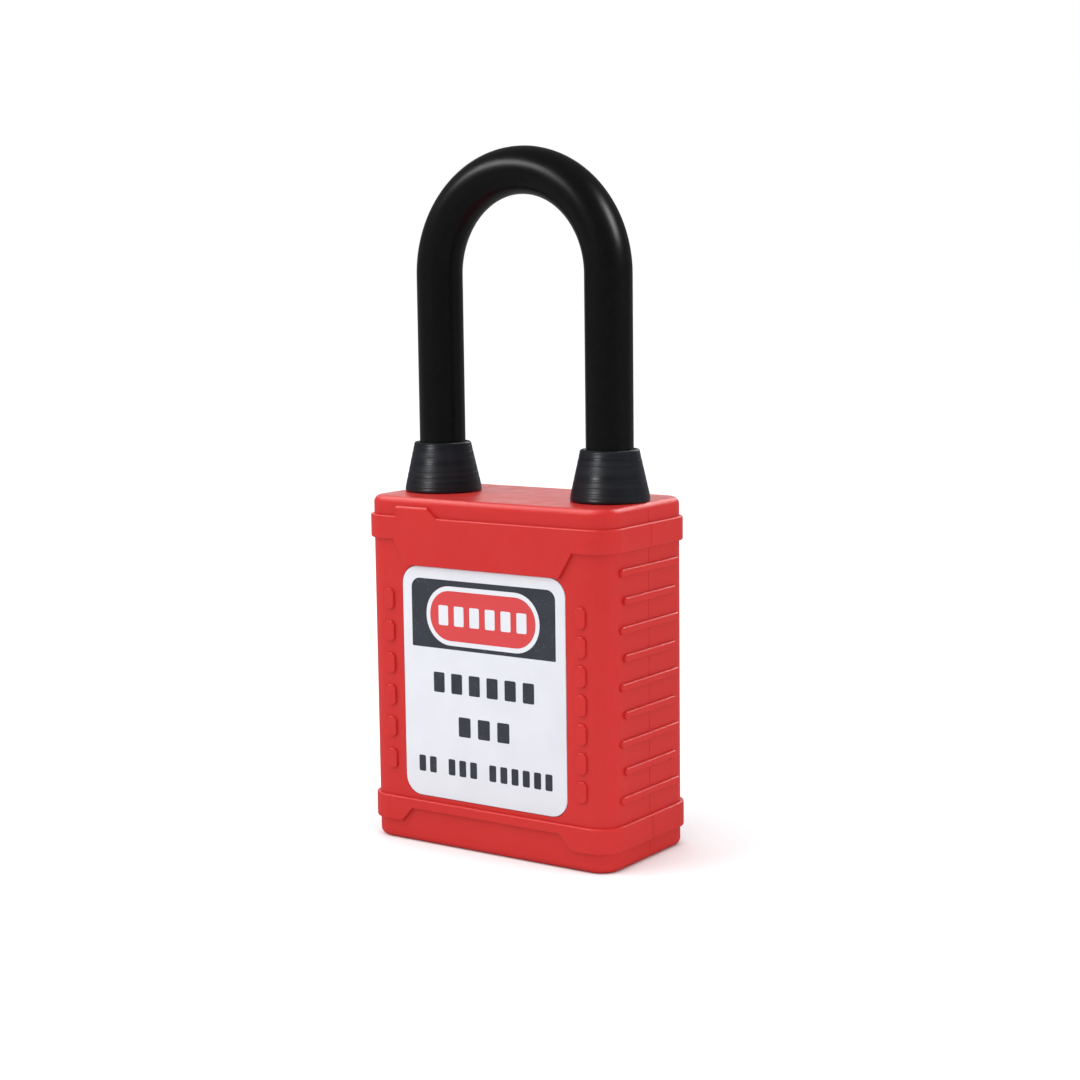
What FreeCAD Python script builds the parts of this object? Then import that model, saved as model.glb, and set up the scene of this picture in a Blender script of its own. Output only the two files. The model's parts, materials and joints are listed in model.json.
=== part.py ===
"""Safety padlock with a nylon body, a nylon shackle and a five-pin cylinder.

The body stands on its bottom face.  X runs across the label, Y from the label
(-Y) to the back (+Y) and Z up, with the origin at the centre of the bottom face.
The shackle is shut and the plug stands at its open position: the latches are
drawn in, and turning the plug by -90 degrees pushes them into the shackle legs.
"""

import FreeCAD, Part
import math
import os
import Sketcher

SIZES = {
    # moulded body
    "body_width": 38.0,
    "body_depth": 20.0,
    "body_height": 45.0,
    "band_proud": 0.45,
    "corner_radius": 2.95,
    "edge_radius": 0.9,
    "band_edge_radius": 0.22,
    "panel_edge_radius": 0.15,
    "upper_band_low": 39.55,
    "upper_band_high": 42.6,
    "lower_band_low": 2.55,
    "lower_band_high": 5.8,
    "lower_step_high": 4.5,
    "lower_step_half": 13.3,
    "lower_step_run": 1.8,
    "panel_half": 13.7,
    "panel_run": 1.9,
    "tab_left": 13.2,
    "tab_right": 8.4,
    "tab_run": 1.6,
    "tab_high": 43.9,
    "tab_rim_radius": 0.38,
    # label
    "label_width": 25.2,
    "label_low": 6.4,
    "label_high": 36.4,
    "label_corner": 2.4,
    "label_thick": 0.4,
    "label_recess": 0.35,
    "label_gap": 0.06,
    # moulded grips and marks
    "sunk": 0.3,
    "seam_deep": 0.05,
    "seam_half": 0.03,
    "rib_low": 8.87,
    "rib_pitch": 3.53,
    "rib_high": 0.95,
    "rib_long": 13.6,
    "rib_short": 12.0,
    "rib_proud": 0.42,
    "rib_cut": 0.285,
    "rib_rim_radius": 0.25,
    "mark_offset": 14.75,
    "mark_wide": 1.5,
    "mark_high": 2.65,
    "mark_cut": 0.4,
    "mark_proud": 0.3,
    "mark_rim_radius": 0.14,
    "left_mark_low": 10.75,
    "left_mark_pitch": 4.2,
    "right_mark_low": 10.15,
    "right_mark_pitch": 3.6,
    # shackle
    "shackle_diameter": 6.0,
    "inside_width": 20.0,
    "inside_height": 38.0,
    "toe_depth": 9.5,
    "heel_depth": 30.0,
    "leg_chamfer": 0.9,
    "leg_clearance": 0.08,
    "notch_low": 37.2,
    "notch_high": 41.0,
    "toe_notch_depth": 1.9,
    "heel_notch_depth": 1.0,
    "neck_low": 17.0,
    "neck_high": 30.2,
    "neck_radius": 2.0,
    "heel_bore_low": 2.6,
    "toe_bore_spare": 0.2,
    # dust sleeves
    "sleeve_base_radius": 5.0,
    "sleeve_top_radius": 3.75,
    "sleeve_rim_radius": 0.3,
    "sleeve_foot_high": 0.55,
    "sleeve_height": 6.4,
    "sleeve_gap": 0.05,
    "sleeve_fit": 0.02,
    "sleeve_foot_chamfer": 0.1,
    # lock case
    "case_low": 1.9,
    "case_shoulder": 33.0,
    "case_top": 41.3,
    "case_left": 7.4,
    "case_right": 15.6,
    "case_upper_half": 9.2,
    "case_half_depth": 7.15,
    "case_gap": 0.1,
    "case_corner": 0.5,
    "cover_thick": 1.5,
    "cover_boss_radius": 6.2,
    "cover_boss_high": 0.45,
    "pocket_top": 42.95,
    # plug
    "plug_low": 0.6,
    "plug_head_radius": 5.7,
    "plug_head_high": 3.0,
    "plug_head_chamfer": 0.3,
    "plug_chamfer": 0.2,
    "plug_radius": 4.93,
    "plug_bore_radius": 5.0,
    "plug_bore_top": 30.0,
    "plug_top": 31.4,
    "groove_low": 30.1,
    "groove_high": 30.9,
    "groove_radius": 4.0,
    "tang_wide": 7.0,
    "tang_thick": 2.6,
    "tang_top": 33.6,
    "keyway_top": 27.5,
    "keyway_wide": 1.6,
    "keyway_front": 3.6,
    "keyway_back": 3.3,
    "ward_wide": 0.9,
    "ward_high": 1.7,
    "head_clearance": 0.1,
    "plug_hole_radius": 6.1,
    # clip on the plug
    "clip_low": 30.15,
    "clip_thick": 0.7,
    "clip_outer_radius": 6.0,
    "clip_inner_radius": 4.05,
    "clip_mouth_wide": 6.1,
    # pin stacks
    "pin_low": 7.0,
    "pin_pitch": 4.2,
    "pin_radius": 1.25,
    "pin_bore_radius": 1.35,
    "pin_chamfer": 0.2,
    "pin_tip_radius": 0.3,
    "pin_tip_high": 0.9,
    "pin_floor": 0.3,
    "key_pin_top": 4.7,
    "driver_start": 5.08,
    "driver_length": 4.0,
    "pin_cover_thick": 1.2,
    "pin_cover_half": 2.2,
    "pin_cover_low": 4.6,
    "pin_cover_high": 26.2,
    "pin_cover_gap": 0.02,
    "pin_cover_chamfer": 0.2,
    # cam and latches
    "cam_chamber_radius": 6.4,
    "cam_low": 31.55,
    "cam_disc_low": 34.4,
    "cam_top": 37.3,
    "cam_hub_radius": 4.5,
    "cam_radius": 6.1,
    "cam_slot_low": 35.3,
    "cam_slot_half": 0.86,
    "cam_start_radius": 2.7,
    "tang_clearance": 0.1,
    "tang_spare": 0.2,
    "toe_travel": 2.0,
    "heel_travel": 1.1,
    "latch_low": 37.5,
    "latch_high": 40.7,
    "latch_half": 3.0,
    "latch_inner": 1.3,
    "latch_outer": 9.7,
    "latch_ramp": 0.8,
    "drive_pin_radius": 0.75,
    "drive_pin_low": 35.5,
    "latch_pocket_radius": 1.15,
    "latch_pocket_deep": 2.5,
    "latch_channel_half": 3.15,
    "latch_floor_gap": 0.1,
    "passage_high": 40.9,
    "passage_low": 37.3,
    "passage_reach": 12.0,
    "passage_half": 3.2,
    # heel retainer
    "retainer_low": 28.4,
    "retainer_thick": 1.2,
    "retainer_left": 17.0,
    "retainer_right": 8.6,
    "retainer_half": 4.6,
    "retainer_slot_half": 2.2,
    "retainer_gap": 0.08,
    "retainer_corner": 0.6,
    # springs
    "shackle_spring_radius": 2.75,
    "shackle_wire": 0.32,
    "latch_spring_radius": 0.98,
    "latch_wire": 0.14,
    "pin_spring_radius": 1.2,
    "pin_wire": 0.14,
    "spring_gap": 0.05,
    # locating pegs between the shells
    "peg_offset": 17.3,
    "peg_radius": 0.6,
    "peg_length": 1.6,
    "peg_clearance": 0.08,
    "peg_low": 11.0,
    "peg_high": 33.0,
    # how far cutting tools run past the material
    "overrun": 1.0,
}
RIB_COUNT = 9
LEFT_MARKS = 6
RIGHT_MARKS = 7
PIN_COUNT = 5
SHACKLE_TURNS = 8
LATCH_TURNS = 8
PIN_TURNS = 7
KEY_PIN_TIPS = [1.3, 2.1, 1.6, 2.4, 1.8]  # height of each key cut above the plug's axis
OUTLINE_STEPS = 8  # spans along each cam slot's spiral
END_PITCH = 2.15  # pitch of each spring's end turns, in wire radii
RIM_SHARE = 0.3  # share of a soft rim's radius taken off at its middle
CORNER_REACH = 1.2  # how far a band's rounded corners reach in from its flat sides

doc = FreeCAD.newDocument("safety_padlock")
sheet = doc.addObject("Spreadsheet::Sheet", "sizes")
for row, (alias, size) in enumerate(SIZES.items(), start=1):
    sheet.set("A%d" % row, alias)
    sheet.set("B%d" % row, str(size))
    sheet.setAlias("B%d" % row, alias)
doc.recompute()
kept = []


# ---------------------------------------------------------------- helpers
def number(alias):
    """A driving dimension as a plain number."""
    return float(sheet.get(alias))


def expression(text):
    """Write the sheet's name in front of every alias in a formula."""
    words = []
    word = ""
    for letter in text + " ":
        if letter.isalnum() or letter in "_.":
            word += letter
            continue
        if word in SIZES:
            word = "sizes." + word
        words.append(word + letter)
        word = ""
    return "".join(words).strip()


def bind(thing, **formulas):
    """Bind properties to formulas of the sheet's dimensions."""
    for name, formula in formulas.items():
        thing.setExpression(name, expression(formula))


def place(thing, x="0", y="0", z="0", turn=None):
    """Put a sub-part at formulas of the sheet's dimensions, turned by a rotation."""
    if turn is not None:
        thing.Placement = FreeCAD.Placement(FreeCAD.Vector(0, 0, 0), turn)
    for axis, formula in zip("xyz", (x, y, z)):
        if formula != "0":
            thing.setExpression("Placement.Base." + axis, expression(formula))


def keep(thing, label):
    """Register a finished sub-part under its node name."""
    thing.Label = label
    kept.append(thing)
    return thing


def new_body(name):
    return doc.addObject("PartDesign::Body", name + "_body")


def new_sketch(body, name, plane, offset="0", aside="0"):
    """A sketch on one of the body's own origin planes, moved along its normal and along its X."""
    sketch = body.newObject("Sketcher::SketchObject", name)
    for feature in body.Origin.OriginFeatures:
        if feature.Role == plane:
            sketch.AttachmentSupport = [(feature, "")]
    sketch.MapMode = "FlatFace"
    if offset != "0":
        sketch.setExpression("AttachmentOffset.Base.z", expression(offset))
    if aside != "0":
        sketch.setExpression("AttachmentOffset.Base.x", expression(aside))
    return sketch


def fix_point(sketch, geometry, vertex, x, y):
    """Hold a point at formulas measured from the sketch's origin."""
    for kind, formula in (("DistanceX", x), ("DistanceY", y)):
        index = sketch.addConstraint(Sketcher.Constraint(kind, -1, 1, geometry, vertex, 1.0))
        sketch.setExpression("Constraints[%d]" % index, expression(formula))


def outline(sketch, corners):
    """A closed outline of straight sides, with every corner held by formulas."""
    count = len(corners)
    first = sketch.GeometryCount
    spread = [
        FreeCAD.Vector(math.cos(2 * math.pi * i / count), math.sin(2 * math.pi * i / count), 0)
        for i in range(count)
    ]
    for i in range(count):
        sketch.addGeometry(Part.LineSegment(spread[i], spread[(i + 1) % count]))
    for i in range(count):
        following = first + (i + 1) % count
        sketch.addConstraint(Sketcher.Constraint("Coincident", first + i, 2, following, 1))
    for i, (x, y) in enumerate(corners):
        fix_point(sketch, first + i, 1, x, y)


def rectangle(sketch, left, right, low, high):
    outline(sketch, [(left, low), (right, low), (right, high), (left, high)])


def circle(sketch, x, y, radius):
    index = sketch.addGeometry(Part.Circle(FreeCAD.Vector(0, 0, 0), FreeCAD.Vector(0, 0, 1), 1.0))
    fix_point(sketch, index, 3, x, y)
    held = sketch.addConstraint(Sketcher.Constraint("Radius", index, 1.0))
    sketch.setExpression("Constraints[%d]" % held, expression(radius))


def extrude(body, kind, name, sketch, length, away=False, both=False):
    """Pad or Pocket a sketch; away turns it against the kind's own direction."""
    feature = body.newObject("PartDesign::" + kind, name)
    feature.Profile = sketch
    feature.Type = "Length"
    feature.setExpression("Length", expression(length))
    feature.Reversed = away
    if both:
        feature.SideType = "Symmetric"
    doc.recompute()
    return feature


def pad(body, name, sketch, length, away=False, both=False):
    return extrude(body, "Pad", name, sketch, length, away, both)


def pocket(body, name, sketch, length, away=False, both=False):
    """Cut a sketch's depth out of the body, and make sure that it took material away."""
    before = body.Shape.Volume
    feature = extrude(body, "Pocket", name, sketch, length, away, both)
    if feature.Shape.Volume >= before - 1e-6:
        raise RuntimeError("%s cuts nothing" % name)
    return feature


def turned(body, name, sketch, kind="Revolution", angle=360.0):
    """Turn a sketch about its own vertical axis."""
    feature = body.newObject("PartDesign::" + kind, name)
    feature.Profile = sketch
    feature.ReferenceAxis = (sketch, ["V_Axis"])
    feature.Angle = angle
    doc.recompute()
    return feature


def edges_where(shape, test):
    """Names of the edges whose middle point and direction pass a test."""
    names = []
    for index, edge in enumerate(shape.Edges, start=1):
        middle = edge.valueAt((edge.FirstParameter + edge.LastParameter) / 2)
        along = edge.tangentAt((edge.FirstParameter + edge.LastParameter) / 2)
        if test(edge, middle, along):
            names.append("Edge%d" % index)
    return names


def dress(body, kind, name, test, size):
    """Fillet or Chamfer the chosen edges of the body's last feature."""
    base = body.Tip
    feature = body.newObject("PartDesign::" + kind, name)
    feature.Base = (base, edges_where(base.Shape, test))
    feature.setExpression("Radius" if kind == "Fillet" else "Size", expression(size))
    doc.recompute()
    return feature


def near(value, target, slack=1e-3):
    return abs(value - target) < slack


# ---------------------------------------------------------------- moulded shells
def shell_outside(body, has_tab):
    """The outside of one half of the body, with its label face towards -Y."""
    core_half = number("body_width") / 2 - number("band_proud")
    core_face = -(number("body_depth") / 2 - number("band_proud"))
    height = number("body_height")

    sketch = new_sketch(body, "core_outline", "XY_Plane")
    rectangle(
        sketch,
        "-(body_width / 2 - band_proud)",
        "body_width / 2 - band_proud",
        "-(body_depth / 2 - band_proud)",
        "0",
    )
    pad(body, "core", sketch, "body_height")
    dress(
        body,
        "Fillet",
        "core_corners",
        lambda edge, p, along: near(abs(along.z), 1) and near(p.y, core_face),
        "corner_radius",
    )
    dress(
        body,
        "Fillet",
        "core_rims",
        lambda edge, p, along: (near(p.z, 0) or near(p.z, height)) and p.y < -0.01,
        "edge_radius",
    )

    recess_floor = "body_depth / 2 - band_proud - label_recess"
    sketch = new_sketch(body, "label_outline", "XZ_Plane", offset=recess_floor)
    rectangle(sketch, "-label_width / 2", "label_width / 2", "label_low", "label_high")
    pocket(body, "label_recess", sketch, "label_recess + overrun", away=True)
    dress(
        body,
        "Fillet",
        "label_recess_corners",
        lambda edge, p, along: near(abs(along.y), 1)
        and near(abs(p.x), number("label_width") / 2)
        and core_face < p.y < core_face + number("label_recess"),
        "label_corner",
    )

    for name, low, high in (
        ("upper_band", "upper_band_low", "upper_band_high"),
        ("lower_band", "lower_band_low", "lower_band_high"),
    ):
        sketch = new_sketch(body, name + "_outline", "XY_Plane", offset=low)
        rectangle(sketch, "-body_width / 2", "body_width / 2", "-body_depth / 2", "0")
        pad(body, name, sketch, "%s - %s" % (high, low))
        dress(
            body,
            "Fillet",
            name + "_corners",
            lambda edge, p, along, low=low, high=high: near(abs(along.z), 1)
            and near(p.y, -number("body_depth") / 2)
            and near(abs(p.x), number("body_width") / 2)
            and number(low) < p.z < number(high),
            "corner_radius + band_proud",
        )

    sketch = new_sketch(body, "panel_outline", "XZ_Plane", offset="body_depth / 2 - band_proud - sunk")
    outline(
        sketch,
        [
            ("-panel_half", "upper_band_low + 1"),
            ("-panel_half", "upper_band_low"),
            ("-panel_half + panel_run", "label_high"),
            ("panel_half - panel_run", "label_high"),
            ("panel_half", "upper_band_low"),
            ("panel_half", "upper_band_low + 1"),
        ],
    )
    pad(body, "panel", sketch, "band_proud + sunk")
    if has_tab:
        sketch = new_sketch(body, "tab_outline", "XZ_Plane", offset="body_depth / 2 - band_proud - sunk")
        outline(
            sketch,
            [
                ("-tab_left", "upper_band_high - 1"),
                ("-tab_right + tab_run", "upper_band_high - 1"),
                ("-tab_right + tab_run", "upper_band_high"),
                ("-tab_right", "tab_high"),
                ("-tab_left", "tab_high"),
            ],
        )
        pad(body, "tab", sketch, "band_proud + sunk")
        dress(
            body,
            "Fillet",
            "tab_rim",
            lambda edge, p, along: near(p.z, number("tab_high")) and near(p.y, -number("body_depth") / 2),
            "tab_rim_radius",
        )

    sketch = new_sketch(body, "step_outline", "XZ_Plane", offset="body_depth / 2 - band_proud")
    outline(
        sketch,
        [
            ("-lower_step_half - lower_step_run / 2", "lower_band_low - overrun"),
            ("lower_step_half + lower_step_run / 2", "lower_band_low - overrun"),
            ("lower_step_half", "lower_band_low"),
            ("lower_step_half - lower_step_run", "lower_step_high"),
            ("-lower_step_half + lower_step_run", "lower_step_high"),
            ("-lower_step_half", "lower_band_low"),
        ],
    )
    pocket(body, "step", sketch, "band_proud + overrun", away=True)

    face = -number("body_depth") / 2
    side = number("body_width") / 2
    band_levels = ("upper_band_low", "upper_band_high", "lower_band_low", "lower_band_high")
    levels = [number(name) for name in band_levels]

    def on_band_rim(edge, p, along):
        level = any(near(p.z, z) for z in levels) and near(along.z, 0)
        outermost = near(abs(p.x), side) or near(p.y, face)
        rounded = p.y < face + CORNER_REACH and abs(p.x) > side - CORNER_REACH
        return p.y < -0.01 and level and (outermost or rounded)

    def on_panel_rim(edge, p, along):
        level = any(near(p.z, z) for z in levels) and near(along.z, 0)
        corner = near(abs(along.z), 1) and abs(p.x) > side - number("corner_radius") - 1
        on_tab = has_tab and p.z > number("upper_band_high") - CORNER_REACH
        return near(p.y, face) and near(along.y, 0) and not (level or corner or on_tab)

    dress(body, "Fillet", "band_rims", on_band_rim, "band_edge_radius")
    dress(body, "Fillet", "panel_rims", on_panel_rim, "panel_edge_radius")
    seam(body)
    side_grips(body, core_half)
    front_marks(body)


def bar_outline(sketch, x, y):
    """A plain upright bar with its corners cut, centred at formulas."""
    cut = "mark_cut"
    half = "mark_wide / 2"
    rise = "mark_high / 2"
    outline(
        sketch,
        [
            ("%s - %s + %s" % (x, half, cut), "%s - %s" % (y, rise)),
            ("%s + %s - %s" % (x, half, cut), "%s - %s" % (y, rise)),
            ("%s + %s" % (x, half), "%s - %s + %s" % (y, rise, cut)),
            ("%s + %s" % (x, half), "%s + %s - %s" % (y, rise, cut)),
            ("%s + %s - %s" % (x, half, cut), "%s + %s" % (y, rise)),
            ("%s - %s + %s" % (x, half, cut), "%s + %s" % (y, rise)),
            ("%s - %s" % (x, half), "%s + %s - %s" % (y, rise, cut)),
            ("%s - %s" % (x, half), "%s - %s + %s" % (y, rise, cut)),
        ],
    )


def side_grips(body, core_half):
    """Raised bars across both sides, long and short by turns, that bridge the parting line's groove."""
    for name, offset, away in (
        ("right_grips", "body_width / 2 - band_proud - sunk", False),
        ("left_grips", "-(body_width / 2 - band_proud - sunk)", True),
    ):
        sketch = new_sketch(body, name + "_outline", "YZ_Plane", offset=offset)
        for i in range(RIB_COUNT):
            length = "rib_long" if i % 2 == 0 else "rib_short"
            low = "rib_low + %d * rib_pitch - rib_high / 2" % i
            high = "rib_low + %d * rib_pitch + rib_high / 2" % i
            cut = "rib_cut"
            outline(
                sketch,
                [
                    ("0", low),
                    ("0", high),
                    ("-%s / 2 + %s" % (length, cut), high),
                    ("-%s / 2" % length, "%s - %s" % (high, cut)),
                    ("-%s / 2" % length, "%s + %s" % (low, cut)),
                    ("-%s / 2 + %s" % (length, cut), low),
                ],
            )
        pad(body, name, sketch, "rib_proud + sunk", away=away)
    outer = core_half + number("rib_proud")
    dress(
        body,
        "Fillet",
        "grip_rims",
        lambda edge, p, along: near(abs(p.x), outer) and p.y < -0.01,
        "rib_rim_radius",
    )


def front_marks(body):
    """Two columns of plain raised bars, one at each side of the label."""
    sketch = new_sketch(body, "marks_outline", "XZ_Plane", offset="body_depth / 2 - band_proud - sunk")
    for i in range(LEFT_MARKS):
        bar_outline(sketch, "-mark_offset", "left_mark_low + %d * left_mark_pitch" % i)
    for i in range(RIGHT_MARKS):
        bar_outline(sketch, "mark_offset", "right_mark_low + %d * right_mark_pitch" % i)
    pad(body, "marks", sketch, "mark_proud + sunk")
    outermost = -(number("body_depth") / 2 - number("band_proud") + number("mark_proud"))
    dress(
        body,
        "Fillet",
        "mark_rims",
        lambda edge, p, along: near(p.y, outermost) and near(along.y, 0),
        "mark_rim_radius",
    )


def shell_inside(body, turn):
    """Everything cut out of a shell from its parting face; turn is -1 on the shell that faces back."""
    case_lefts = "-(case_left + case_gap)" if turn > 0 else "-(case_right + case_gap)"
    case_rights = "case_right + case_gap" if turn > 0 else "case_left + case_gap"
    sketch = new_sketch(body, "case_pocket_outline", "XZ_Plane")
    rectangle(sketch, case_lefts, case_rights, "case_low - case_gap", "case_shoulder + case_gap / 2")
    pocket(body, "case_pocket", sketch, "case_half_depth + case_gap", away=True)
    sketch = new_sketch(body, "upper_pocket_outline", "XZ_Plane")
    rectangle(
        sketch, "-(case_upper_half + case_gap)", "case_upper_half + case_gap", "case_shoulder", "pocket_top"
    )
    pocket(body, "upper_pocket", sketch, "case_half_depth + case_gap", away=True)

    heel = "%d * (inside_width + shackle_diameter) / 2" % -turn
    toe = "%d * (inside_width + shackle_diameter) / 2" % turn
    bore = "shackle_diameter / 2 + leg_clearance"
    for name, x, low in (
        ("heel_bore", heel, "heel_bore_low"),
        ("toe_bore", toe, "body_height - toe_depth - toe_bore_spare"),
    ):
        sketch = new_sketch(body, name + "_outline", "XY_Plane", offset=low)
        circle(sketch, x, "0", bore)
        pocket(body, name, sketch, "body_height - (%s) + overrun" % low, away=True)

    sketch = new_sketch(body, "latch_passage_outline", "XZ_Plane")
    rectangle(sketch, "-passage_reach", "passage_reach", "passage_low", "passage_high")
    pocket(body, "latch_passage", sketch, "passage_half", away=True)

    left = "-retainer_left - retainer_gap" if turn > 0 else "retainer_right - retainer_gap"
    right = "-retainer_right + retainer_gap" if turn > 0 else "retainer_left + retainer_gap"
    sketch = new_sketch(body, "retainer_slot_outline", "XZ_Plane")
    rectangle(
        sketch,
        left,
        right,
        "retainer_low - retainer_gap",
        "retainer_low + retainer_thick + retainer_gap",
    )
    pocket(body, "retainer_slot", sketch, "retainer_half + retainer_gap", away=True)

    sketch = new_sketch(body, "plug_hole_outline", "XY_Plane", offset="-overrun")
    circle(sketch, "0", "0", "plug_hole_radius")
    pocket(body, "plug_hole", sketch, "case_low + overrun", away=True)


def seam(body):
    """A shallow groove round the parting line, along the core and over the bands."""
    core = "(body_width / 2 - band_proud - seam_deep)"
    band = "(body_width / 2 - seam_deep)"
    climb = [
        (core, "seam_deep"),
        (core, "lower_band_low + seam_deep"),
        (band, "lower_band_low + seam_deep"),
        (band, "lower_band_high - seam_deep"),
        (core, "lower_band_high - seam_deep"),
        (core, "upper_band_low + seam_deep"),
        (band, "upper_band_low + seam_deep"),
        (band, "upper_band_high - seam_deep"),
        (core, "upper_band_high - seam_deep"),
        (core, "body_height - seam_deep"),
    ]
    sketch = new_sketch(body, "seam_outline", "XZ_Plane")
    rectangle(
        sketch, "-body_width / 2 - overrun", "body_width / 2 + overrun", "-overrun", "body_height + overrun"
    )
    outline(sketch, climb + [("-" + x, z) for x, z in reversed(climb)])
    pocket(body, "seam", sketch, "seam_half", away=True)


def shell(label, turn, has_tab):
    """One moulded half: the front one carries pegs, the back one the sockets for them."""
    body = new_body(label)
    shell_outside(body, has_tab)
    shell_inside(body, turn)
    spots = [(x, z) for x in ("-peg_offset", "peg_offset") for z in ("peg_low", "peg_high")]
    sketch = new_sketch(body, "pegs_outline", "XZ_Plane", offset="sunk" if turn > 0 else "0")
    for x, z in spots:
        circle(sketch, x, z, "peg_radius" if turn > 0 else "peg_radius + peg_clearance")
    if turn > 0:
        pad(body, "pegs", sketch, "peg_length + sunk", away=True)
    else:
        pocket(body, "peg_sockets", sketch, "peg_length + peg_clearance", away=True)
        place(body, turn=FreeCAD.Rotation(FreeCAD.Vector(0, 0, 1), 180))
    return keep(body, label)


def label_plate(label, back):
    """A thin plate with round corners, set in the recess of a shell."""
    body = new_body(label)
    face = "body_depth / 2 - band_proud - label_recess"
    sketch = new_sketch(body, "plate_outline", "XZ_Plane", offset=face)
    rectangle(
        sketch,
        "-label_width / 2 + label_gap",
        "label_width / 2 - label_gap",
        "label_low + label_gap",
        "label_high - label_gap",
    )
    pad(body, "plate", sketch, "label_thick")
    dress(body, "Fillet", "plate_corners", lambda edge, p, along: near(abs(along.y), 1), "label_corner")
    if back:
        place(body, turn=FreeCAD.Rotation(FreeCAD.Vector(0, 0, 1), 180))
    return keep(body, label)


# ---------------------------------------------------------------- shackle and sleeves
def shackle():
    """A round bar bent to a U: a long heel leg with a turned neck, and a short notched toe leg."""
    body = new_body("shackle")
    offset = "(inside_width + shackle_diameter) / 2"
    crown = "body_height + inside_height - inside_width / 2"

    sketch = new_sketch(body, "bow_section", "XY_Plane", offset=crown)
    circle(sketch, offset, "0", "shackle_diameter / 2")
    bow = turned(body, "bow", sketch, angle=180.0)
    if bow.Shape.BoundBox.ZMax < number("body_height") + number("inside_height"):
        bow.Reversed = True
        doc.recompute()
    for name, x, depth in (("toe_leg", offset, "toe_depth"), ("heel_leg", "-" + offset, "heel_depth")):
        sketch = new_sketch(body, name + "_section", "XY_Plane", offset="body_height - " + depth)
        circle(sketch, x, "0", "shackle_diameter / 2")
        pad(body, name, sketch, "%s - body_height + %s" % (crown, depth))
    ends = (number("body_height") - number("toe_depth"), number("body_height") - number("heel_depth"))
    dress(
        body,
        "Chamfer",
        "leg_ends",
        lambda edge, p, along: any(near(p.z, z) for z in ends) and near(along.z, 0),
        "leg_chamfer",
    )

    sketch = new_sketch(body, "neck_section", "XZ_Plane", aside="-" + offset)
    rectangle(sketch, "neck_radius", "shackle_diameter / 2 + overrun", "neck_low", "neck_high")
    turned(body, "neck", sketch, kind="Groove")

    sketch = new_sketch(body, "notches", "XZ_Plane")
    rectangle(
        sketch,
        "-inside_width / 2 - heel_notch_depth",
        "-inside_width / 2 + overrun",
        "notch_low",
        "notch_high",
    )
    rectangle(
        sketch,
        "inside_width / 2 - overrun",
        "inside_width / 2 + toe_notch_depth",
        "notch_low",
        "notch_high",
    )
    pocket(body, "latch_notches", sketch, "shackle_diameter + 2 * overrun", both=True)
    return keep(body, "shackle")


def sleeve(label, side):
    """A rubber cone round a leg, on a short straight foot, with a soft rim at its top."""
    body = new_body(label)
    sketch = new_sketch(body, "sleeve_section", "XZ_Plane")
    bore = "shackle_diameter / 2 + sleeve_fit"
    soft = "sleeve_rim_radius"
    middle = "%s * %s" % (RIM_SHARE, soft)
    outline(
        sketch,
        [
            (bore, "0"),
            ("sleeve_base_radius - sleeve_foot_chamfer", "0"),
            ("sleeve_base_radius", "sleeve_foot_chamfer"),
            ("sleeve_base_radius", "sleeve_foot_high"),
            ("sleeve_top_radius", "sleeve_height - " + soft),
            ("sleeve_top_radius - " + middle, "sleeve_height - " + middle),
            ("sleeve_top_radius - " + soft, "sleeve_height"),
            (bore, "sleeve_height"),
        ],
    )
    turned(body, "sleeve", sketch)
    place(
        body,
        x="%d * (inside_width + shackle_diameter) / 2" % side,
        z="body_height + sleeve_gap",
    )
    return keep(body, label)


# ---------------------------------------------------------------- lock case
def pin_level(i):
    return "pin_low + %d * pin_pitch" % i


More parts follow.
